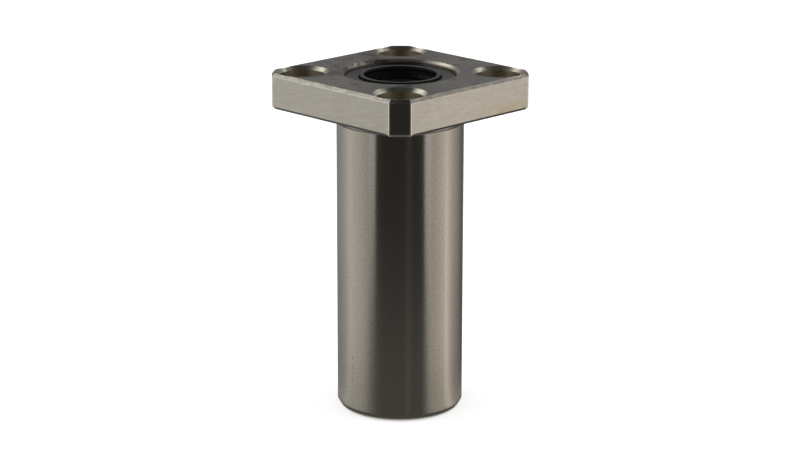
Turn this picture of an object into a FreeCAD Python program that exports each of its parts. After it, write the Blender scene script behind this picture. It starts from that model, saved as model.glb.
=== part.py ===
"""Square-flanged long linear ball bearing, for a 12 mm shaft.

A hardened steel sleeve with a square flange turned from the same bar holds two resin retainers in
tandem. Each retainer guides closed circuits of steel balls: a load leg, where the balls roll between
the shaft and the sleeve's raceway, a turn at each end, and a return leg, where they run back clear of
the shaft in a groove of the sleeve. A rubber seal and a pressed-in steel ring close each end.

Millimetres. The origin is the centre of the flange's seating face, which meets the housing, and +Z
runs along the bearing's axis towards the flange's outer face.
"""
import FreeCAD
import Part
import math
import os

from FreeCAD import Vector

# Sleeve and flange
shaft_diameter = 12.0
sleeve_diameter = 21.0
overall_length = 57.0
lead_in_length = 1.0          # turned taper at the sleeve's free end
lead_in_depth = 0.6
neck_relief_width = 2.2       # grinding relief under the flange
neck_relief_depth = 0.25
neck_fillet_radius = 0.3
flange_width = 32.0           # across the four milled flats
flange_corner_diameter = 42.0  # turned diameter that is left at the corners
flange_thickness = 6.0
flange_edge_chamfer = 0.5

# Screw holes
screw_circle_diameter = 32.0
screw_count = 4
screw_hole_diameter = 4.5
counterbore_diameter = 7.5
counterbore_depth = 4.1
counterbore_edge_break = 0.6

# Balls and their circuits
ball_diameter = 2.0
ball_gap = 0.03               # free space between neighbouring balls
circuit_count = 4
balls_per_turn = 3
turn_tilt = 12.0              # degrees that a turn leans outwards, lifting its balls off the shaft
return_lift = 0.7             # how much further out the return leg runs
race_clearance = 0.04
race_runout = 0.8             # raceway left off at each end of a load leg
relief_clearance = 0.2        # round the balls in the turns
groove_clearance = 0.1        # round the balls in the return grooves
track_clearance = 0.05        # round the balls in the retainer
junction_clearance = 0.07     # round a ball that passes from a leg to a turn

# Retainers
retainer_bore_clearance = 0.25
retainer_rim_clearance = 0.08
retainer_end_float = 0.1
retainer_end_wall = 0.8
retainer_edge_chamfer = 0.25

# End rings and seals
end_recess = 0.8              # from the sleeve's end to the end ring
end_ring_thickness = 0.8
end_ring_edge_chamfer = 0.1
shoulder_step = 0.25          # that the seal's disc seats on
mouth_chamfer = 0.55          # of the flange's end bore
free_end_mouth_chamfer = 0.2
ring_fit_clearance = 0.01
seal_disc_thickness = 1.0
seal_rim_clearance = 0.05
seal_neck_wall = 0.65
seal_neck_clearance = 0.2     # between the seal's neck and the end ring
seal_lip_recess = 0.4         # from the sleeve's end to the top of the lip
seal_lip_thickness = 0.13
seal_lip_round = 0.06
seal_lip_land = 0.4           # part of the bore that meets the shaft
seal_groove_width = 0.22      # groove round the neck, under the lip
seal_groove_depth = 0.25
seal_throat_depth = 0.35      # how far the seal's bore opens behind the lip

up = Vector(0, 0, 1)
overshoot = 1.0               # how far a cutting tool runs past the face that it opens

shaft_radius = shaft_diameter / 2
sleeve_radius = sleeve_diameter / 2
ball_radius = ball_diameter / 2
outer_face_z = flange_thickness
free_end_z = flange_thickness - overall_length
middle_z = (outer_face_z + free_end_z) / 2

# Path of the balls, as seen along the axis
load_path_radius = shaft_radius + ball_radius
return_path_radius = load_path_radius + return_lift
ball_pitch = ball_diameter + ball_gap
turn_step = math.pi / balls_per_turn
turn_radius = ball_pitch / (2 * math.sin(turn_step / 2))
tilt = math.radians(turn_tilt)
turn_rise = turn_radius * math.cos(tilt)
leg_separation = math.acos(
    (load_path_radius ** 2 + return_path_radius ** 2 - (2 * turn_radius) ** 2)
    / (2 * load_path_radius * return_path_radius))

# Sleeve's bores
race_radius = load_path_radius + ball_radius + race_clearance
relief_radius = return_path_radius + ball_radius + relief_clearance
end_bore_radius = relief_radius + shoulder_step

# Stack of pieces along the axis
end_stack = end_recess + end_ring_thickness + seal_disc_thickness
shoulder_z = outer_face_z - end_stack
retainer_length = (overall_length - 2 * end_stack - 3 * retainer_end_float) / 2
retainer_radius = race_radius - retainer_rim_clearance
retainer_bore_radius = shaft_radius + retainer_bore_clearance
track_radius = ball_radius + track_clearance
leg_room = retainer_length - 2 * (turn_rise + track_radius + retainer_end_wall)
balls_per_leg = int(leg_room / ball_pitch)
leg_length = balls_per_leg * ball_pitch
retainer_offset = (retainer_length + retainer_end_float) / 2
retainer_centres = {"upper": middle_z + retainer_offset, "lower": middle_z - retainer_offset}


def polar(radius, angle, z=0.0):
    """Point at a radius and an angle, in radians, round the axis."""
    return Vector(radius * math.cos(angle), radius * math.sin(angle), z)


def lathe(profile):
    """Solid turned round the axis from (radius, height) corners."""
    points = [Vector(radius, 0, z) for radius, z in profile]
    face = Part.Face(Part.makePolygon(points + points[:1]))
    return face.revolve(Vector(0, 0, 0), up, 360)


def flip(shape):
    """The same piece turned over, for the other end of the bearing."""
    turned = shape.copy()
    turned.rotate(Vector(0, 0, middle_z), Vector(1, 0, 0), 180)
    return turned


def around(shape, count):
    """The shape repeated evenly round the axis."""
    copies = []
    for index in range(count):
        copy = shape.copy()
        copy.rotate(Vector(0, 0, 0), up, index * 360 / count)
        copies.append(copy)
    return copies


class Circuit:
    """One closed ball circuit, centred at height z and set at an angle round the axis."""

    def __init__(self, z, angle):
        self.load_foot = polar(load_path_radius, angle, z)
        self.return_foot = polar(return_path_radius, angle + leg_separation, z)
        self.across = (self.return_foot - self.load_foot).normalize()
        self.outward = self.across.cross(up)
        self.middle = (self.load_foot + self.return_foot) / 2

    def turn(self, side):
        """Centre, climbing direction and outward normal of the turn above (1) or below (-1)."""
        centre = self.middle + up * (side * leg_length / 2)
        climb = up * (side * math.cos(tilt)) + self.outward * math.sin(tilt)
        normal = self.outward * math.cos(tilt) - up * (side * math.sin(tilt))
        return centre, climb, normal

    def leg_balls(self, foot):
        """Ball centres of one leg, evenly spaced about its middle."""
        first = -(balls_per_leg - 1) / 2
        return [foot + up * ((first + index) * ball_pitch) for index in range(balls_per_leg)]

    def turn_balls(self, side):
        """Ball centres of one turn, from the load leg to the return leg."""
        centre, climb, _ = self.turn(side)
        centres = []
        for index in range(balls_per_turn):
            swing = (index + 0.5) * turn_step
            centres.append(centre - self.across * (turn_radius * math.cos(swing))
                           + climb * (turn_radius * math.sin(swing)))
        return centres


def flange_blank():
    """Square plate with turned corners and broken edges."""
    half = flange_width / 2
    square = Part.makeBox(flange_width, flange_width, flange_thickness, Vector(-half, -half, 0))
    turned = Part.makeCylinder(flange_corner_diameter / 2, flange_thickness)
    plate = square.common(turned)
    outline = [edge for edge in plate.Edges if edge.BoundBox.ZLength < flange_edge_chamfer / 2]
    return plate.makeChamfer(flange_edge_chamfer, outline)


def sleeve_barrel():
    """Round barrel with its lead-in taper and the grinding relief under the flange."""
    neck_radius = sleeve_radius - neck_relief_depth
    fillet = neck_fillet_radius
    corner = Vector(neck_radius + fillet, 0, -fillet)
    bend = corner + Vector(-fillet * math.sin(math.pi / 4), 0, fillet * math.sin(math.pi / 4))
    inside_flange = Vector(neck_radius + fillet, 0, 0)
    neck_top = Vector(neck_radius, 0, -fillet)
    below = [
        neck_top,
        Vector(neck_radius, 0, -neck_relief_width + neck_relief_depth),
        Vector(sleeve_radius, 0, -neck_relief_width),
        Vector(sleeve_radius, 0, free_end_z + lead_in_length),
        Vector(sleeve_radius - lead_in_depth, 0, free_end_z),
        Vector(0, 0, free_end_z),
        Vector(0, 0, flange_thickness / 2),
        Vector(neck_radius + fillet, 0, flange_thickness / 2),
        inside_flange,
    ]
    fillet_edge = Part.Arc(inside_flange, bend, neck_top).toShape()
    outline = Part.Wire([fillet_edge] + Part.makePolygon(below).Edges)
    return Part.Face(outline).revolve(Vector(0, 0, 0), up, 360)


def cavity_half(mouth):
    """Corners of the upper half of the sleeve's cavity, whose mouth has a chamfer of that size."""
    ramp = relief_radius - race_radius
    half_race = leg_length / 2 - race_runout
    return [
        (0, outer_face_z + overshoot),
        (end_bore_radius + mouth + overshoot, outer_face_z + overshoot),
        (end_bore_radius, outer_face_z - mouth),
        (end_bore_radius, shoulder_z),
        (relief_radius, shoulder_z),
        (relief_radius, retainer_centres["upper"] + half_race + ramp),
        (race_radius, retainer_centres["upper"] + half_race),
        (race_radius, retainer_centres["upper"] - half_race),
        (relief_radius, retainer_centres["upper"] - half_race - ramp),
    ]


def sleeve_cavity():
    """Everything turned out of the sleeve: end bores, reliefs for the turns, and raceways."""
    lower_half = [(radius, 2 * middle_z - z) for radius, z in cavity_half(free_end_mouth_chamfer)]
    return lathe(cavity_half(mouth_chamfer) + lower_half[::-1])


def return_grooves():
    """Broached grooves in which the unloaded balls run back."""
    length = 2 * (shoulder_z - middle_z)
    foot = polar(return_path_radius, leg_separation, middle_z - length / 2)
    groove = Part.makeCylinder(ball_radius + groove_clearance, length, foot, up)
    return around(groove, circuit_count)


def screw_holes():
    """Counterbored holes for cap screws, one towards each corner of the flange."""
    head_radius = counterbore_diameter / 2
    head_floor = flange_thickness - counterbore_depth
    mouth = head_radius + counterbore_edge_break
    hole = lathe([
        (0, -overshoot),
        (screw_hole_diameter / 2, -overshoot),
        (screw_hole_diameter / 2, head_floor),
        (head_radius, head_floor),
        (head_radius, flange_thickness - counterbore_edge_break),
        (mouth, flange_thickness),
        (mouth, flange_thickness + overshoot),
        (0, flange_thickness + overshoot),
    ])
    hole.translate(polar(screw_circle_diameter / 2, math.pi / screw_count))
    return around(hole, screw_count)


def flanged_sleeve():
    """Sleeve and flange, made from one piece of steel."""
    body = flange_blank().fuse(sleeve_barrel())
    body = body.cut(sleeve_cavity())
    return body.cut(return_grooves() + screw_holes())


def end_ring():
    """Flat steel ring pressed into the end bore, with broken edges on its outer face."""
    rim = end_bore_radius - ring_fit_clearance
    hole = shaft_radius + seal_neck_wall + seal_neck_clearance
    top = outer_face_z - end_recess
    edge = end_ring_edge_chamfer
    return lathe([
        (hole, top - end_ring_thickness),
        (rim, top - end_ring_thickness),
        (rim, top - edge),
        (rim - edge, top),
        (hole + edge, top),
        (hole, top - edge),
    ])


def seal():
    """Rubber disc under the end ring, with a neck and lip that stand up through it."""
    rim = end_bore_radius - seal_rim_clearance
    neck = shaft_radius + seal_neck_wall
    disc_top = shoulder_z + seal_disc_thickness
    lip_top = outer_face_z - seal_lip_recess
    lip_foot = lip_top - seal_lip_thickness
    groove_foot = lip_foot - seal_groove_width
    groove_floor = neck - seal_groove_depth
    land_top = lip_top - seal_lip_round
    land_foot = land_top - seal_lip_land
    throat = shaft_radius + seal_throat_depth
    return lathe([
        (throat, shoulder_z),
        (rim, shoulder_z),
        (rim, disc_top),
        (neck, disc_top),
        (neck, groove_foot),
        (groove_floor, groove_foot),
        (groove_floor, lip_foot),
        (neck, lip_foot),
        (neck, lip_top - seal_lip_round),
        (neck - seal_lip_round, lip_top),
        (shaft_radius + seal_lip_round, lip_top),
        (shaft_radius, land_top),
        (shaft_radius, land_foot),
        (throat, land_foot - seal_throat_depth),
    ])


def track_profile(centre, across, outward):
    """Section of a ball track: a round floor between two walls that open outwards."""
    left = centre - across * track_radius
    right = centre + across * track_radius
    floor = centre - outward * track_radius
    rise = outward * (retainer_radius - retainer_bore_radius + track_radius)
    curve = Part.Arc(left, floor, right).toShape()
    walls = Part.makePolygon([right, right + rise, left + rise, left])
    return Part.Face(Part.Wire([curve] + walls.Edges))


def track_tools(circuit):
    """Tools that cut one circuit's track: two legs, two turns, and a pocket at each junction."""
    tools = []
    down = up * (-leg_length / 2)
    for foot in (circuit.load_foot, circuit.return_foot):
        section = track_profile(foot + down, circuit.across, circuit.outward)
        tools.append(section.extrude(up * leg_length))
        for side in (1, -1):
            junction = foot - down * side
            tools.append(Part.makeSphere(ball_radius + junction_clearance, junction))
    for side in (1, -1):
        centre, _, normal = circuit.turn(side)
        end = centre + circuit.across * turn_radius
        section = track_profile(end, circuit.across, normal)
        tools.append(section.revolve(centre, normal, side * 180))
    return tools


def retainer():
    """Moulded retainer for the upper half of the sleeve, with all its tracks."""
    centre_z = retainer_centres["upper"]
    half = retainer_length / 2
    edge = retainer_edge_chamfer
    tube = lathe([
        (retainer_bore_radius, centre_z - half + edge),
        (retainer_bore_radius + edge, centre_z - half),
        (retainer_radius - edge, centre_z - half),
        (retainer_radius, centre_z - half + edge),
        (retainer_radius, centre_z + half - edge),
        (retainer_radius - edge, centre_z + half),
        (retainer_bore_radius + edge, centre_z + half),
        (retainer_bore_radius, centre_z + half - edge),
    ])
    for tool in track_tools(Circuit(centre_z, 0.0)):
        tube = tube.cut(around(tool, circuit_count))
    return tube


def balls(centres):
    """Separate balls at the given centres."""
    return Part.makeCompound([Part.makeSphere(ball_radius, centre) for centre in centres])


def ball_groups():
    """Each circuit's balls, as a group for each leg and each turn."""
    groups = {}
    for row, centre_z in retainer_centres.items():
        for index in range(circuit_count):
            circuit = Circuit(centre_z, index * 2 * math.pi / circuit_count)
            number = index + 1
            groups[f"{row}_load_balls_{number}"] = balls(circuit.leg_balls(circuit.load_foot))
            groups[f"{row}_return_balls_{number}"] = balls(circuit.leg_balls(circuit.return_foot))
            groups[f"{row}_top_turn_balls_{number}"] = balls(circuit.turn_balls(1))
            groups[f"{row}_bottom_turn_balls_{number}"] = balls(circuit.turn_balls(-1))
    return groups


def all_pieces():
    """Every piece of the bearing, by name."""
    pieces = {"flanged_sleeve": flanged_sleeve()}
    pieces["upper_end_ring"] = end_ring()
    pieces["lower_end_ring"] = flip(pieces["upper_end_ring"])
    pieces["upper_seal"] = seal()
    pieces["lower_seal"] = flip(pieces["upper_seal"])
    pieces["upper_retainer"] = retainer()
    pieces["lower_retainer"] = pieces["upper_retainer"].copy()
    pieces["lower_retainer"].translate(up * (retainer_centres["lower"] - retainer_centres["upper"]))
    pieces.update(ball_groups())
    return pieces


os.makedirs("parts", exist_ok=True)
for name, piece in all_pieces().items():
    piece.exportStep(f"parts/{name}.step")
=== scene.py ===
"""Finishes and studio set of a long linear ball bearing with a square flange."""
import math

import bpy
from bpy.props import FloatProperty, FloatVectorProperty, PointerProperty
from mathutils import Matrix, Vector


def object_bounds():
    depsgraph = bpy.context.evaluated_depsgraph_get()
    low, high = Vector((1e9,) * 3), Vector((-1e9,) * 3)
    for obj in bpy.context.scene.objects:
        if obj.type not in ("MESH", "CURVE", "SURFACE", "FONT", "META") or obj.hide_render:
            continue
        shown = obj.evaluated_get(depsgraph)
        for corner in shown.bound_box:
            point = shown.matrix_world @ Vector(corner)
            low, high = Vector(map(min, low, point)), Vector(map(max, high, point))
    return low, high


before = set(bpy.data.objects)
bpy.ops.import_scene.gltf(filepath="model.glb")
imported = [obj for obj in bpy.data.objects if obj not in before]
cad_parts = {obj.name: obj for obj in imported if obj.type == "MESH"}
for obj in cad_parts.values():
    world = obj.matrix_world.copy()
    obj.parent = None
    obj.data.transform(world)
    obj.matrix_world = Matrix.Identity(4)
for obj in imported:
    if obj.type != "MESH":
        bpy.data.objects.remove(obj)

bl_info = {
    "name": "Linear bearing studio",
    "version": (1, 0, 0),
    "blender": (4, 5, 0),
    "location": "3D View > Sidebar > Bearing",
    "description": "Steel, rubber and resin finishes for a flanged linear bearing, with its studio set",
    "category": "Object",
}

MM = 0.001
CAD_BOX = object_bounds()
FLOOR_HEIGHT = CAD_BOX[0][2]

# Places on the bearing that its finishes follow: distances from its axis or from a screw hole's axis,
# and heights from the flange's lower face
BARREL_RADIUS = 10.5 * MM
MOUTH_RADIUS = 9.72 * MM
FLAT = 16 * MM
CORNER_RADIUS = 21 * MM
HOLE_PITCH = 16 * math.sqrt(0.5) * MM
COUNTERBORE_RIM = 4.37 * MM
SCREW_HOLE = 2.3 * MM
NECK_FOOT = -2.2 * MM
NECK_STEP = NECK_FOOT + 0.28 * MM
COUNTERBORE_FOOT = 1.0 * MM
RING_FACE = 5.2 * MM
# Heights of the bright line at the foot of the flats' top chamfers, a painted highlight
BURR_GLINT = (5.42 * MM, 5.6 * MM)
# Heights of the grease smear inside the upper seal, whose lavender colour is a painted glint
GREASE_GLINT = (3.8 * MM, 4.1 * MM)
TARNISH = (3 * MM, 13 * MM)
LONG_SCRATCH = (-45.5 * MM, -40.5 * MM)

# Widths over which one finish gives way to the next
CRISP = 0.03 * MM
SOFT = 0.1 * MM

# How far up a level face and a sloped one face, from 0 to 1
LEVEL_FACE = 0.93
SLOPED_FACE = 0.35

# Turning marks run round the axis, a quarter turn from the shader's own direction
QUARTER_TURN = 0.25

WHITE = (1, 1, 1)
BLACK = (0, 0, 0)

# Studio set, in metres and radians; the tent's mouth is the gap that its floor leaves round the bearing
FLOOR_REACH = 3.0
LAMP_SIZE = 0.5
LAMP_TURN = math.radians(100)
LAMP_OUT = 0.55
LAMP_HEIGHT = 0.75
TENT_SIDES = 72
TENT_RINGS = 18
TENT_MOUTH = 8 * MM
TENT_GAP = 0.3 * MM

# Of the camera, in millimetres
SENSOR_WIDTH = 36.0


# Node networks

class Sum:
    """A number that varies over a surface, held as a socket and worked on with Python operators."""

    def __init__(self, network, socket):
        self.network = network
        self.socket = socket

    def _maths(self, operation, *values):
        node = self.network.node("ShaderNodeMath", {"operation": operation}, dict(enumerate(values)))
        return Sum(self.network, node.outputs[0])

    def __add__(self, other):
        return self._maths("ADD", self, other)

    def __radd__(self, other):
        return self._maths("ADD", other, self)

    def __sub__(self, other):
        return self._maths("SUBTRACT", self, other)

    def __rsub__(self, other):
        return self._maths("SUBTRACT", other, self)

    def __mul__(self, other):
        return self._maths("MULTIPLY", self, other)

    def __rmul__(self, other):
        return self._maths("MULTIPLY", other, self)

    def __truediv__(self, other):
        return self._maths("DIVIDE", self, other)

    def __rtruediv__(self, other):
        return self._maths("DIVIDE", other, self)

    def __abs__(self):
        return self._maths("ABSOLUTE", self)

    def root(self):
        return self._maths("SQRT", self)

    def sign(self):
        return self._maths("SIGN", self)

    def larger(self, other):
        return self._maths("MAXIMUM", self, other)

    def turn_from(self, forward):
        """Angle in radians of the direction that lies this far sideways and that far forward."""
        return self._maths("ARCTAN2", self, forward)

    def above(self, edge, softness):
        """0 below the edge and 1 above it, with a smooth step of that softness."""
        node = self.network.node(
            "ShaderNodeMapRange", {"interpolation_type": "SMOOTHSTEP"},
            {"Value": self, "From Min": edge - softness / 2, "From Max": edge + softness / 2})
        return Sum(self.network, node.outputs["Result"])

    def below(self, edge, softness):
        return 1 - self.above(edge, softness)

    def between(self, low, high, softness):
        return self.above(low, softness) * self.below(high, softness)

    def choose(self, off, on):
        """The first value where this mask is 0 and the second where it is 1."""
        return off * (1 - self) + on * self


def strongest(first, *others):
    """The largest of several masks at each place."""
    for mask in others:
        first = first.larger(mask)
    return first


class Network:
    """A node tree that is built up node by node."""

    def __init__(self, tree):
        self.tree = tree

    def node(self, kind, settings=None, inputs=None):
        """Adds a node of a type, sets it up, then fills its sockets with values or links."""
        node = self.tree.nodes.new(kind)
        for name, value in (settings or {}).items():
            if name == "stops":
                self._set_stops(node.color_ramp, value)
            else:
                setattr(node, name, value)
        for name, value in (inputs or {}).items():
            self.feed(node.inputs[name], value)
        return node

    @staticmethod
    def _set_stops(ramp, stops):
        while len(ramp.elements) < len(stops):
            ramp.elements.new(1.0)
        for element, (position, colour) in zip(ramp.elements, stops):
            element.position = position
            element.color = (*colour, 1.0)

    def feed(self, socket, value):
        """Links a socket to an output, or sets its own number or colour."""
        if isinstance(value, Sum):
            value = value.socket
        if isinstance(value, bpy.types.NodeSocket):
            self.tree.links.new(value, socket)
        elif socket.type == "RGBA":
            socket.default_value = (*value, 1.0)
        else:
            socket.default_value = value

    def parts(self, vector):
        """X, Y and Z of a vector."""
        node = self.node("ShaderNodeSeparateXYZ", inputs={"Vector": vector})
        return [Sum(self, node.outputs[axis]) for axis in "XYZ"]

    def mix(self, factor, first, second):
        """Colour between two colours."""
        node = self.node("ShaderNodeMix", {"data_type": "RGBA"}, {"Factor": factor, 6: first, 7: second})
        return node.outputs[2]

    def layers(self, base, *coats):
        """Colour of a base under coats, each given as the mask of where it lies and its colour."""
        for mask, coat in coats:
            base = self.mix(mask, base, coat)
        return base

    def scaled(self, colour, amount):
        """Colour made lighter or darker."""
        node = self.node("ShaderNodeVectorMath", {"operation": "SCALE"}, {0: colour, "Scale": amount})
        return node.outputs[0]

    def seen_directly(self):
        """1 for the rays that show the background itself or a mirror image of it."""
        paths = self.node("ShaderNodeLightPath").outputs
        camera, glossy, clear = [Sum(self, paths["Is %s Ray" % kind])
                                 for kind in ("Camera", "Glossy", "Transmission")]
        return camera.larger(glossy).larger(clear)


class Finish(Network):
    """A material round one Principled shader."""

    def __init__(self, name):
        self.material = bpy.data.materials.new(name)
        self.material.use_nodes = True
        super().__init__(self.material.node_tree)
        self.shader = self.tree.nodes["Principled BSDF"]
        self.place = self.node("ShaderNodeTexCoord").outputs["Object"]

    def facing(self):
        """X, Y and Z of the direction that the surface faces."""
        return self.parts(self.node("ShaderNodeNewGeometry").outputs["True Normal"])

    def point(self, x, y, z):
        return self.node("ShaderNodeCombineXYZ", inputs={"X": x, "Y": y, "Z": z}).outputs["Vector"]

    def noise(self, where, scale=1.0, detail=2.0, roughness=0.5):
        node = self.node("ShaderNodeTexNoise", inputs={
            "Vector": where, "Scale": scale, "Detail": detail, "Roughness": roughness})
        return Sum(self, node.outputs["Fac"])

    def bump(self, height, distance):
        """Raises the surface by a height from 0 to 1 times a distance in metres."""
        node = self.node("ShaderNodeBump", inputs={"Height": height, "Distance": distance})
        self.feed(self.shader.inputs["Normal"], node.outputs["Normal"])

    def set(self, **values):
        """Feeds the shader's sockets, named with underscores for spaces."""
        for name, value in values.items():
            self.feed(self.shader.inputs[name.replace("_", " ")], value)

    def dress(self, *names):
        """Gives this finish to nodes of the bearing."""
        for name in names:
            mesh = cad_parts[name].data
            mesh.materials.clear()
            mesh.materials.append(self.material)


# Sizes and colours that a user would change

def colour(name, description, default):
    """A colour that a user can change."""
    return FloatVectorProperty(name=name, description=description, subtype="COLOR", default=default,
                               min=0, max=1)


def length(name, description, default):
    """A length in metres that a user can change."""
    return FloatProperty(name=name, description=description, subtype="DISTANCE", unit="LENGTH",
                         default=default)


def angle(name, description, degrees):
    """An angle, given here in degrees, that a user can change."""
    return FloatProperty(name=name, description=description, subtype="ANGLE", unit="ROTATION",
                         default=math.radians(degrees))


class SteelLook(bpy.types.PropertyGroup):
    ground: colour("Ground barrel", "Colour of the sleeve's ground outside", (0.40, 0.37, 0.305))
    milled: colour("Milled flats", "Colour of the flange's four milled sides", (0.42, 0.395, 0.335))
    faced: colour("Faced flange", "Colour of the flange's two faces", (0.295, 0.28, 0.257))
    bored: colour("Bored walls", "Colour of the recess, holes and edge breaks", (0.60, 0.565, 0.455))
    # Mostly the colour of painted highlights along the sleeve's edges, with some wear
    worn: colour("Worn edges", "Colour of edges that are rubbed bright", (0.72, 0.69, 0.62))
    # Colour of the painted shade on the walls in the holes and up the recess wall, darker and browner than
    # the bored steel
    hollow_shade: colour("Oiled walls", "Colour of the oil and scale left in the holes", (0.38, 0.33, 0.24))
    ring: colour("End rings", "Colour of the dull end rings", (0.115, 0.108, 0.098))
    # Also the colour of painted shade under the flange's lower edges, in the neck relief, on the corner
    # bands, at the recess wall's foot and on the pitted chamfers
    stain_and_shade: colour("Stain", "Colour of the oil stains on the machined faces", (0.13, 0.11, 0.105))
    tarnish: colour("Tarnish", "Colour of the faint yellow tarnish on one side", (0.40, 0.35, 0.21))
    mark_depth: length("Tool mark depth", "Depth of the milling and turning marks", 0.0012 * MM)
    grind_depth: length("Grinding depth", "Depth of the grinding lines round the barrel", 0.0003 * MM)


class RubberLook(bpy.types.PropertyGroup):
    rubber: colour("Rubber", "Colour of the seals", (0.004, 0.004, 0.0042))
    # Also the colour of the lighter patches on the seals' level faces
    dust: colour("Dust", "Colour of the dust on the seals", (0.028, 0.028, 0.027))
    # The grease colour is a painted lavender glint on a real grease smear
    grease: colour("Grease", "Colour of the grease that glints inside the bore", (0.06, 0.055, 0.075))
    grain_depth: length("Skin depth", "Depth of the moulded skin's grain", 0.003 * MM)


class ResinLook(bpy.types.PropertyGroup):
    resin: colour("Resin", "Colour of the ball retainers", (0.012, 0.012, 0.013))
    worn: colour("Worn resin", "Colour of the retainers where they are rubbed", (0.03, 0.03, 0.032))
    grain_depth: length("Grain depth", "Depth of the moulded grain", 0.003 * MM)


class BallLook(bpy.types.PropertyGroup):
    steel: colour("Ball steel", "Colour of the lapped balls", (0.62, 0.62, 0.63))
    film: colour("Oil film", "Colour of the oil film on the balls", (0.45, 0.43, 0.38))


class StudioSet(bpy.types.PropertyGroup):
    camera_distance: length("Camera distance", "From the camera to the point it looks at",
                            410.21 * MM)
    aim_height: length("Aim height", "Height of the point on the axis that the camera looks at",
                       -21.41 * MM)
    azimuth: angle("Azimuth", "Direction of the camera round the bearing", 45.096)
    elevation: angle("Elevation", "Angle that the camera looks down", 16.143)
    roll: angle("Roll", "Small turn of the camera about its own line of sight", 0.108)
    focal_length: FloatProperty(
        name="Lens", description="Focal length in millimetres on a sensor 36 mm wide", default=110.88)
    floor: colour("Floor", "Colour of the floor", (0.82, 0.82, 0.82))
    lift: colour("Floor lift", "Added to the floor where it is seen directly", (0.46, 0.46, 0.46))
    dome: FloatProperty(name="Dome", description="Strength of the even light from all round",
                        default=0.5, min=0)
    lamp_power: FloatProperty(name="Lamps", description="Power of each soft lamp", unit="POWER",
                              default=3.0, min=0)
    tent_radius: length("Tent radius", "Radius of the tent that the metal mirrors", 500 * MM)
    warm: colour("Warm side", "Tint of the tent to the camera's right", (1.0, 0.94, 0.93))
    violet: colour("Violet strips", "Tint of the strips that end the dark flag", (0.97, 0.95, 1.08))
    cool: colour("Cool back", "Tint of the tent behind the bearing", (0.90, 0.96, 1.0))


class BearingLook(bpy.types.PropertyGroup):
    steel: PointerProperty(type=SteelLook)
    rubber: PointerProperty(type=RubberLook)
    resin: PointerProperty(type=ResinLook)
    balls: PointerProperty(type=BallLook)
    studio: PointerProperty(type=StudioSet)


# Finishes

class SleeveZones:
    """Masks of the surfaces that each tool left on the sleeve, from where they lie and face, and of the
    places where shade and highlights are painted.
    """

    def __init__(self, steel):
        x, y, z = self.x, self.y, self.z = steel.parts(steel.place)
        _, _, upward = steel.facing()
        self.radius = (x * x + y * y).root()
        self.turn = x.turn_from(y)
        level = abs(upward).above(LEVEL_FACE, 0.04)
        outside = self.radius.above(MOUTH_RADIUS, CRISP)
        flange = outside * z.above(-CRISP, 0.02 * MM)
        holes, across_hole = self.screw_holes()
        self.hole = holes * flange
        self.faced = level * outside * (1 - self.hole)
        self.flats = flange * (1 - level) * (1 - self.hole)
        self.barrel = outside * (1 - flange) * (1 - level)
        self.bored = 1 - self.faced - self.flats - self.barrel
        self.broken = upward.above(SLOPED_FACE, 0.2) * (1 - self.faced) * (1 - self.barrel)
        self.under = self.flats * upward.below(-0.4, 0.1)
        self.at_corner = self.radius.above(CORNER_RADIUS - 0.5 * MM, 0.2 * MM)
        self.corner_edge = (self.radius.above(CORNER_RADIUS - 0.16 * MM, SOFT)
                            * abs(x).larger(abs(y)).above(FLAT - 0.12 * MM, SOFT))
        # The -Y side of the flange, where the top chamfers get less painted shade and a brighter painted
        # highlight
        self.painted_lit_side = y.below(-FLAT + 0.6 * MM, 0.2 * MM)
        # Painted shade: the walls in the holes and up the recess wall are darker, browner and rougher
        self.hollow_shade = self.bored * (1 - self.broken) * self.hole.larger(z.above(RING_FACE - SOFT, SOFT))
        # Pits on the -X-Y side of the recess's and holes' chamfers, where shade is also painted
        self.pitted_and_shaded = self.bored * self.broken * self.hole.choose(
            (x + y).below(-3 * MM, 6 * MM), across_hole.below(-1 * MM, 2 * MM))

    def screw_holes(self):
        """1 inside the four counterbored screw holes, and the way across from each hole's own axis."""
        across = self.x - self.x.sign() * HOLE_PITCH
        along = self.y - self.y.sign() * HOLE_PITCH
        reach = (across * across + along * along).root()
        counterbore = reach.below(COUNTERBORE_RIM, CRISP) * self.z.above(COUNTERBORE_FOOT, 0.2 * MM)
        return counterbore.larger(reach.below(SCREW_HOLE, CRISP)), across + along


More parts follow.
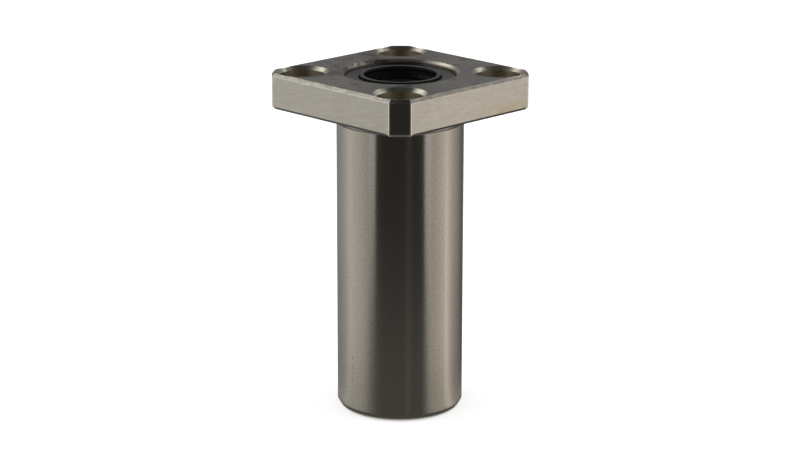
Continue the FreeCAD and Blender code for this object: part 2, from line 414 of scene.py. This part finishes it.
class SleeveGrain:
    """Tool marks, clouds, smudges and dents of the sleeve. Lines and grains are counted per metre."""

    GRIND_LINES = 2900
    MILL_LINES = 2600
    MILL_SLANT = 650
    FACING_RINGS = 3200
    BORING_LINES = 4200

    def __init__(self, steel, zone):
        x, y, z, radius, turn = zone.x, zone.y, zone.z, zone.radius, zone.turn
        self.grind = steel.noise(steel.point(turn * 18, 0.0, z * self.GRIND_LINES), detail=1)
        mill = steel.noise(steel.point(x * 420, y * 420, z * self.MILL_LINES - x * self.MILL_SLANT),
                           detail=3, roughness=0.6)
        facing = steel.noise(steel.point(radius * self.FACING_RINGS, turn * 4, 0.0), detail=3)
        boring = steel.noise(steel.point(radius * 800, turn * 3, z * self.BORING_LINES), detail=3)
        self.cloud = steel.noise(steel.place, scale=75.0, detail=4)
        self.mottle = steel.noise(steel.place, scale=1100.0, detail=4, roughness=0.65)
        self.smudge = steel.noise(steel.place, scale=210.0, detail=5, roughness=0.6).above(0.57, 0.14)
        self.spots = steel.noise(steel.place, scale=620.0, detail=2).above(0.67, 0.06)
        self.dents = steel.noise(steel.point(x * 520, y * 520, z * 1600), detail=3, roughness=0.6)
        self.marks = ((zone.flats * mill + zone.barrel * self.grind)
                      + (zone.faced * facing + zone.bored * boring) - 0.5)
        self.scratch = self.scratches(steel, zone).larger(self.long_scratch(steel, zone)) * zone.barrel

    @staticmethod
    def scratches(steel, zone):
        """1 on a few thin upright handling scratches."""
        fine = steel.noise(steel.point(zone.turn * 75, zone.z * 230, 0.0), detail=1).above(0.74, 0.04)
        patch = steel.noise(steel.point(zone.turn * 1.3, zone.z * 60, 5.0), detail=1).above(0.55, 0.1)
        return fine * patch

    @staticmethod
    def long_scratch(steel, zone):
        """One longer broken scratch, low on the barrel and deeper than the others."""
        depth = 2.2
        wander = (steel.noise(steel.point(0.0, 0.0, zone.z * 700), detail=1) - 0.5) * 0.5 * MM
        line = abs(zone.x + 0.7 * MM + wander).below(0.09 * MM, 0.08 * MM)
        broken = steel.noise(steel.point(3.0, 0.0, zone.z * 1500), detail=1).above(0.45, 0.1)
        place = zone.y.below(0.0, SOFT) * zone.z.between(*LONG_SCRATCH, 0.6 * MM)
        return line * broken * place * depth


class BEARING_OT_sleeve(bpy.types.Operator):
    """Finish the flanged sleeve: ground barrel, milled flats, faced flange and bright bores"""
    bl_idname = "bearing.sleeve"
    bl_label = "Flanged sleeve"

    def execute(self, context):
        look = context.scene.bearing_look.steel
        steel = Finish("sleeve_steel")
        zone = SleeveZones(steel)
        grain = SleeveGrain(steel, zone)
        flats, barrel, broken = zone.flats, zone.barrel, zone.broken
        # Mostly painted highlight along the edges, with some wear
        worn = self.worn(zone, grain)
        base = steel.layers(
            look.bored, (barrel, look.ground), (flats, look.milled), (zone.faced, look.faced),
            (zone.hollow_shade, look.hollow_shade), (self.tarnished(zone, grain) * 0.6, look.tarnish),
            (worn, look.worn), (self.stained_and_shaded(zone, grain), look.stain_and_shade))
        shade = (0.96 + (0.14 + 0.26 * flats + 0.18 * barrel) * grain.marks + 0.10 * grain.cloud
                 + (0.16 + 0.3 * broken + 0.8 * zone.pitted_and_shaded) * (1 - barrel) * (grain.mottle - 0.5)
                 # Painted shade: the flats' top chamfers are darker, less so on the -Y side
                 - 0.16 * grain.scratch - (0.36 - 0.22 * zone.painted_lit_side) * flats * broken
                 # Painted shade: the flats' lower edge breaks are darker away from the corners
                 - 0.45 * zone.under * (1 - zone.at_corner))
        roughness = (0.19 + 0.06 * grain.cloud + 0.15 * zone.faced + 0.09 * flats + 0.04 * zone.bored
                     + 0.14 * zone.hollow_shade + 0.10 * grain.smudge * zone.faced + 0.2 * worn)
        steel.set(Base_Color=steel.scaled(base, shade), Metallic=1.0, Roughness=roughness,
                  Anisotropic=0.8, Anisotropic_Rotation=QUARTER_TURN)
        shallow = look.grind_depth / look.mark_depth
        steel.bump(grain.marks * (1 - barrel) + barrel * grain.grind * shallow, look.mark_depth)
        steel.dress("flanged_sleeve")
        return {"FINISHED"}

    @staticmethod
    def worn(zone, grain):
        """Where edges are painted bright as highlights: the corner bands' edges, the line at the foot of
        the top chamfers (brighter on the -Y side), the lower edge breaks at the corners and the step below
        the flange's relief; bright dents on the chamfers are wear.
        """
        burr_glint = zone.flats * zone.z.between(*BURR_GLINT, 0.08 * MM) * grain.dents.above(0.42, 0.2)
        step = zone.barrel * zone.z.between(NECK_FOOT - 0.05 * MM, NECK_STEP, 0.05 * MM)
        return strongest(0.75 * zone.flats * zone.corner_edge,
                         0.55 * zone.flats * zone.broken * grain.dents.above(0.54, 0.16),
                         zone.under * zone.at_corner,
                         (0.3 + 0.7 * zone.painted_lit_side) * burr_glint,
                         0.8 * step)

    @staticmethod
    def stained_and_shaded(zone, grain):
        """Where smudges, spots and dents darken the steel, and where shade is painted: under the flats'
        lower edge breaks, in the neck relief below the flange, on the corner bands, at the foot of the
        recess wall and on the pitted chamfers' -X-Y side.
        """
        # Painted shade: the turned corner bands, between their bright edges, are darker
        band_shade = (zone.flats * zone.radius.above(CORNER_RADIUS - 0.07 * MM, 0.04 * MM)
                * (1 - zone.corner_edge))
        # Painted shade in the neck relief below the flange
        neck_shade = zone.barrel * zone.z.above(NECK_STEP, 0.05 * MM)
        # Painted shade at the foot of the recess wall, just above the end ring
        foot = zone.bored * (1 - zone.hole) * zone.z.between(
            RING_FACE - SOFT, RING_FACE + 0.42 * MM, 0.12 * MM)
        return strongest(0.7 * grain.smudge * zone.faced,
                         0.6 * grain.spots * zone.faced,
                         # Painted shade on the flats' lower edge breaks, away from the corners
                         0.9 * zone.under * (1 - zone.at_corner),
                         0.2 * zone.broken * grain.dents.below(0.44, 0.12),
                         0.45 * neck_shade,
                         0.4 * band_shade,
                         0.95 * foot,
                         zone.pitted_and_shaded * (0.60 - 0.58 * zone.hole + 0.4 * grain.mottle.below(0.48, 0.1)))

    @staticmethod
    def tarnished(zone, grain):
        """Low on one side of the flange, towards its back corner."""
        return (zone.flats * zone.x.above(FLAT - 0.2 * MM, SOFT) * zone.y.between(*TARNISH, 5 * MM)
                * zone.z.below(1.9 * MM, 2.0 * MM) * grain.cloud.above(0.42, 0.2))


class BEARING_OT_end_rings(bpy.types.Operator):
    """Finish the two steel end rings"""
    bl_idname = "bearing.end_rings"
    bl_label = "End rings"

    def execute(self, context):
        look = context.scene.bearing_look.steel
        ring = Finish("ring_steel")
        x, y, z = ring.parts(ring.place)
        radius = (x * x + y * y).root()
        lines = ring.noise(ring.point(radius * 5000, z * 3000, x.turn_from(y) * 3), detail=3)
        cloud = ring.noise(ring.place, scale=240.0, detail=4)
        base = ring.mix(cloud.above(0.56, 0.3) * 0.5, look.ring, look.stain_and_shade)
        ring.set(Base_Color=ring.scaled(base, 0.9 + 0.2 * lines), Metallic=1.0, Anisotropic=0.6,
                 Anisotropic_Rotation=QUARTER_TURN, Roughness=0.34 + 0.12 * cloud)
        ring.bump(lines, look.mark_depth)
        ring.dress("upper_end_ring", "lower_end_ring")
        return {"FINISHED"}


class BEARING_OT_seals(bpy.types.Operator):
    """Finish the two rubber seals"""
    bl_idname = "bearing.seals"
    bl_label = "Seals"

    def execute(self, context):
        look = context.scene.bearing_look.rubber
        rubber = Finish("seal_rubber")
        skin = rubber.noise(rubber.place, scale=6000.0, detail=3)
        x, y, z = rubber.parts(rubber.place)
        _, _, face_z = rubber.facing()
        dust = rubber.noise(rubber.place, scale=900.0, detail=5, roughness=0.6).above(0.62, 0.1)
        # Lighter patches on the level faces
        lighter_level_faces = (abs(face_z).above(0.9, 0.1)
                  * rubber.noise(rubber.place, scale=300.0, detail=3).above(0.25, 0.5))
        # Grease smear inside the seal: glossier, with a painted lavender glint as its colour
        greasy_glint = (z.between(*GREASE_GLINT, 0.2 * MM) * (x - 0.12 * y).between(-2.6 * MM, 1.2 * MM, 0.8 * MM)
                 * y.above(0.0, SOFT)
                 * rubber.noise(rubber.place, scale=1200.0, detail=2).above(0.45, 0.15))
        base = rubber.layers(look.rubber, ((dust * 0.4).larger(lighter_level_faces * 0.9), look.dust),
                             (greasy_glint, look.grease))
        rubber.set(Base_Color=base, Roughness=0.38 + 0.12 * skin - 0.2 * greasy_glint)
        rubber.bump(skin, look.grain_depth)
        rubber.dress("upper_seal", "lower_seal")
        return {"FINISHED"}


class BEARING_OT_retainers(bpy.types.Operator):
    """Finish the two moulded ball retainers"""
    bl_idname = "bearing.retainers"
    bl_label = "Retainers"

    def execute(self, context):
        look = context.scene.bearing_look.resin
        resin = Finish("retainer_resin")
        grain = resin.noise(resin.place, scale=5000.0, detail=4)
        resin.set(Base_Color=resin.mix(grain, look.resin, look.worn), Roughness=0.38 + 0.1 * grain)
        resin.bump(grain, look.grain_depth)
        resin.dress("upper_retainer", "lower_retainer")
        return {"FINISHED"}


class BEARING_OT_balls(bpy.types.Operator):
    """Finish the balls of every circuit"""
    bl_idname = "bearing.balls"
    bl_label = "Balls"

    def execute(self, context):
        look = context.scene.bearing_look.balls
        steel = Finish("ball_steel")
        film = steel.noise(steel.place, scale=1500.0, detail=2)
        steel.set(Base_Color=steel.mix(film.above(0.6, 0.2) * 0.3, look.steel, look.film), Metallic=1.0,
                  Roughness=0.08 + 0.08 * film)
        steel.dress(*[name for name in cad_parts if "_balls_" in name])
        return {"FINISHED"}


# Studio set

def set_piece(name, corners, faces, material):
    """Adds a mesh that stands round the bearing and isn't part of it."""
    mesh = bpy.data.meshes.new(name)
    mesh.from_pydata(corners, [], faces)
    mesh.materials.append(material)
    item = bpy.data.objects.new(name, mesh)
    bpy.context.scene.collection.objects.link(item)
    return item


def towards(look, turn):
    """Level direction at an angle round from the camera's side."""
    heading = look.azimuth + turn
    return Vector((math.sin(heading), -math.cos(heading), 0))


class TentCloth(Finish):
    """Cloth whose glow changes round the tent and, near the bearing's foot, with the distance; round the
    foot it is darker, a painted shadow of the bearing that the metal mirrors.

    Its headings are degrees round from the camera's side, rightwards.
    """

    # Glow of the pale cloth by heading, and of the two plain parts
    GLOW_ROUND = ((-180, 0.25), (-150, 0.37), (-136, 0.46), (-119, 0.66), (-103, 0.94), (-90, 0.80),
                  (-78, 0.73), (-65, 0.60), (-56, 0.53), (60, 0.60), (80, 0.82), (95, 1.08), (108, 0.75),
                  (130, 0.39), (145, 0.16), (180, 0.25))
    BEHIND_GLOW = 0.25
    # Dim glow round the bearing's foot: a painted contact shadow
    FOOT_SHADOW_GLOW = 0.13

    # Headings of the dark flag's sides, its fold, the violet strips, the bright ridge and two shaded dips
    FLAG_SIDE = 45
    FOLD = (11.0, 21.0)
    STRIP = (43.0, 58.0)
    RIDGE = (86.0, 97.0)
    LEFT_DIP = (-55.0, 0.0)
    RIGHT_DIP = (0.0, 54.0)
    BACK = 125.0

    # Distances from the axis and heights above the floor at which the glow changes
    FOOT_REACH = 11.6 * MM
    NEAR_REACH = 85 * MM
    FAR_REACH = 145 * MM
    RIDGE_REACH = 185 * MM
    LOW_HEIGHT = 60 * MM
    BACK_HEIGHT = 100 * MM
    ROOF_HEIGHT = 240 * MM

    # A round barrel's mirror images seem to start from this share of its radius before its axis
    MIRROR_DEPTH = 0.57

    def __init__(self, look):
        super().__init__("tent_cloth")
        x, y, z = self.parts(self.place)
        front = towards(look, 0)
        right = towards(look, math.radians(90))
        self.ahead = x * front.x + y * front.y
        self.aside = x * right.x + y * right.y
        self.distance = (x * x + y * y).root()
        self.height = z - FLOOR_HEIGHT
        self.heading = (self.aside.turn_from(self.ahead - self.MIRROR_DEPTH * BARREL_RADIUS)
                        * (180 / math.pi))
        self.near = self.distance.below(self.NEAR_REACH, 110 * MM)
        self.far = self.distance.above(self.FAR_REACH, 40 * MM)
        self.strips = abs(self.heading).between(*self.STRIP, 5.0) * self.far
        # Round the foot the cloth glows dimly, a painted contact shadow
        lower = self.distance.below(self.FOOT_REACH, 1.6 * MM).choose(
            self.flag_mask().choose(self.pale_sides(), self.dark_flag()), self.FOOT_SHADOW_GLOW)
        glow = self.height.above(self.ROOF_HEIGHT, 120 * MM).choose(lower, self.roof(look))
        self.set(Base_Color=BLACK, Roughness=1.0, Specular_IOR_Level=0.0,
                 Emission_Color=self.scaled(self.tint(look), glow), Emission_Strength=1.0)

    def pale_sides(self):
        """Glow of the pale cloth on both sides and behind."""
        heading, distance = self.heading, self.distance
        ramp = self.node("ShaderNodeValToRGB", {"stops": [
            (0.5 + turn / 360, (glow, glow, glow)) for turn, glow in self.GLOW_ROUND]},
            {"Fac": heading / 360 + 0.5})
        ridge = (heading.between(*self.RIDGE, 5.0) * distance.below(self.RIDGE_REACH, 20 * MM)
                 * (0.5 + 0.5 * distance.above(95 * MM, 90 * MM)))
        dip = (1 - self.far) * (0.48 * heading.between(*self.LEFT_DIP, 22.0)
                                + 0.17 * heading.between(*self.RIGHT_DIP, 10.0))
        # Painted shadow of the bearing: the cloth is darker low behind its sides and near its foot
        rear_shadow = 0.2 * abs(heading).above(104, 24) * distance.below(90 * MM, 60 * MM)
        foot_shadow = 0.22 * distance.below(34 * MM, 34 * MM)
        behind = self.height.above(self.BACK_HEIGHT, 80 * MM) * abs(heading).above(self.BACK, 30.0)
        sides = ((Sum(self, ramp.outputs["Color"]) + 0.32 * ridge) * (1 + 0.45 * self.strips) * (1 - dip)
                 * (1 - rear_shadow) * (1 - foot_shadow))
        return behind.choose(sides, self.BEHIND_GLOW)

    def flag_mask(self):
        """1 on the dark flag before the bearing, whose edges soften near the bearing's foot."""
        left_edge = self.heading.above(-self.FLAG_SIDE - 7 * self.near, 3 + 45 * self.near)
        right_edge = self.heading.below(self.FLAG_SIDE + 6 * self.near, 3 + 16 * self.near)
        return left_edge * right_edge

    def dark_flag(self):
        """Faint glow of the flag, with one narrow paler fold."""
        return 0.036 + 0.085 * self.near + 0.03 * self.heading.between(*self.FOLD, 6.0)

    def roof(self, look):
        """Glow high up, which the flange's upper face mirrors."""
        sideways = self.aside / look.tent_radius
        backward = self.ahead / -look.tent_radius
        return (0.03 + 1.22 * sideways.below(-0.55, 0.2) + 0.78 * sideways.above(0.55, 0.2)
                + 0.36 * backward.above(0.24, 0.16) + 0.22 * backward.below(-0.60, 0.2))

    def tint(self, look):
        """Colour of the glow: warm low on the right, cool low behind and violet on the strips."""
        low = self.height.below(self.LOW_HEIGHT, 60 * MM)
        return self.layers(WHITE, (self.heading.above(60, 60) * low, look.warm),
                           (abs(self.heading).above(135, 30) * low, look.cool), (self.strips, look.violet))


class BEARING_OT_studio(bpy.types.Operator):
    """Set up the pale floor, the soft light, the tent that the metal mirrors, and the camera"""
    bl_idname = "bearing.studio"
    bl_label = "Studio"

    def execute(self, context):
        look = context.scene.bearing_look.studio
        self.floor(look)
        self.dome(context.scene, look)
        for side in (-1, 1):
            self.lamp(look, side)
        self.tent(look)
        self.camera(context.scene, look)
        context.scene.view_settings.view_transform = "Standard"
        return {"FINISHED"}

    @staticmethod
    def floor(look):
        paper = Finish("floor_paper")
        grain = paper.noise(paper.place, scale=400.0, detail=3)
        paper.set(Base_Color=paper.scaled(look.floor, 0.99 + 0.02 * grain), Roughness=0.9,
                  Specular_IOR_Level=0.1, Emission_Color=paper.scaled(look.lift, paper.seen_directly()),
                  Emission_Strength=1.0)
        corners = [(x * FLOOR_REACH, y * FLOOR_REACH, FLOOR_HEIGHT)
                   for x, y in ((-1, -1), (1, -1), (1, 1), (-1, 1))]
        set_piece("floor", corners, [(0, 1, 2, 3)], paper.material)

    @staticmethod
    def dome(scene, look):
        """Even light from all round, which looks white where it is seen directly."""
        scene.world = bpy.data.worlds.new("studio_dome")
        scene.world.use_nodes = True
        sky = Network(scene.world.node_tree)
        backdrop = sky.tree.nodes["Background"].inputs
        sky.feed(backdrop["Color"], WHITE)
        sky.feed(backdrop["Strength"], sky.seen_directly().choose(look.dome, 1.0))

    @staticmethod
    def lamp(look, side):
        """Large soft lamp, high to one side."""
        light = bpy.data.lights.new("soft_lamp", "AREA")
        light.shape = "SQUARE"
        light.size = LAMP_SIZE
        light.energy = look.lamp_power
        item = bpy.data.objects.new("soft_lamp", light)
        bpy.context.scene.collection.objects.link(item)
        item.visible_glossy = False
        spot = towards(look, side * LAMP_TURN) * LAMP_OUT + Vector((0, 0, LAMP_HEIGHT))
        item.location = spot
        item.rotation_euler = (-spot).to_track_quat("-Z", "Y").to_euler()

    @staticmethod
    def tent(look):
        """Round tent that only mirror images show: dark before the bearing, pale at its sides."""
        profile = [(TENT_MOUTH, 0.0)]
        profile += [(look.tent_radius * math.cos(rise), look.tent_radius * math.sin(rise))
                    for rise in (math.radians(90 * ring / TENT_RINGS) for ring in range(TENT_RINGS))]
        foot = Vector((0, 0, FLOOR_HEIGHT + TENT_GAP))
        corners = []
        for index in range(TENT_SIDES):
            direction = towards(look, math.tau * index / TENT_SIDES)
            corners += [direction * out + foot + Vector((0, 0, high)) for out, high in profile]
        corners.append(foot + Vector((0, 0, look.tent_radius)))
        count = len(profile)
        faces = []
        for index in range(TENT_SIDES):
            here = count * index
            there = count * ((index + 1) % TENT_SIDES)
            faces += [(here + step, here + step + 1, there + step + 1, there + step)
                      for step in range(count - 1)]
            faces.append((here + count - 1, len(corners) - 1, there + count - 1))
        tent = set_piece("light_tent", corners, faces, TentCloth(look).material)
        for kind in ("camera", "diffuse", "transmission", "volume_scatter", "shadow"):
            setattr(tent, "visible_" + kind, False)

    @staticmethod
    def camera(scene, look):
        data = bpy.data.cameras.new("camera")
        data.lens = look.focal_length
        data.sensor_width = SENSOR_WIDTH
        camera = bpy.data.objects.new("camera", data)
        scene.collection.objects.link(camera)
        back = Vector((math.sin(look.azimuth) * math.cos(look.elevation),
                       -math.cos(look.azimuth) * math.cos(look.elevation), math.sin(look.elevation)))
        spot = Vector((0, 0, look.aim_height)) + back * look.camera_distance
        turn = back.to_track_quat("Z", "Y").to_matrix() @ Matrix.Rotation(look.roll, 3, "Z")
        camera.matrix_world = Matrix.Translation(spot) @ turn.to_4x4()
        scene.camera = camera


class BEARING_PT_panel(bpy.types.Panel):
    """Sidebar panel with every finish and the studio"""
    bl_label = "Linear bearing"
    bl_idname = "BEARING_PT_panel"
    bl_space_type = "VIEW_3D"
    bl_region_type = "UI"
    bl_category = "Bearing"

    def draw(self, context):
        look = context.scene.bearing_look
        for group in (look.steel, look.rubber, look.resin, look.balls, look.studio):
            box = self.layout.box()
            for name in group.__annotations__:
                box.prop(group, name)
        for step in STEPS:
            self.layout.operator(step.bl_idname)


GROUPS = (SteelLook, RubberLook, ResinLook, BallLook, StudioSet, BearingLook)
STEPS = (BEARING_OT_studio, BEARING_OT_sleeve, BEARING_OT_end_rings, BEARING_OT_seals,
         BEARING_OT_retainers, BEARING_OT_balls)


def register():
    for item in GROUPS + STEPS + (BEARING_PT_panel,):
        bpy.utils.register_class(item)
    bpy.types.Scene.bearing_look = PointerProperty(type=BearingLook)


def unregister():
    del bpy.types.Scene.bearing_look
    for item in reversed(GROUPS + STEPS + (BEARING_PT_panel,)):
        bpy.utils.unregister_class(item)


def main():
    register()
    bpy.ops.bearing.studio()
    bpy.ops.bearing.sleeve()
    bpy.ops.bearing.end_rings()
    bpy.ops.bearing.seals()
    bpy.ops.bearing.retainers()
    bpy.ops.bearing.balls()


if __name__ == "__main__":
    main()
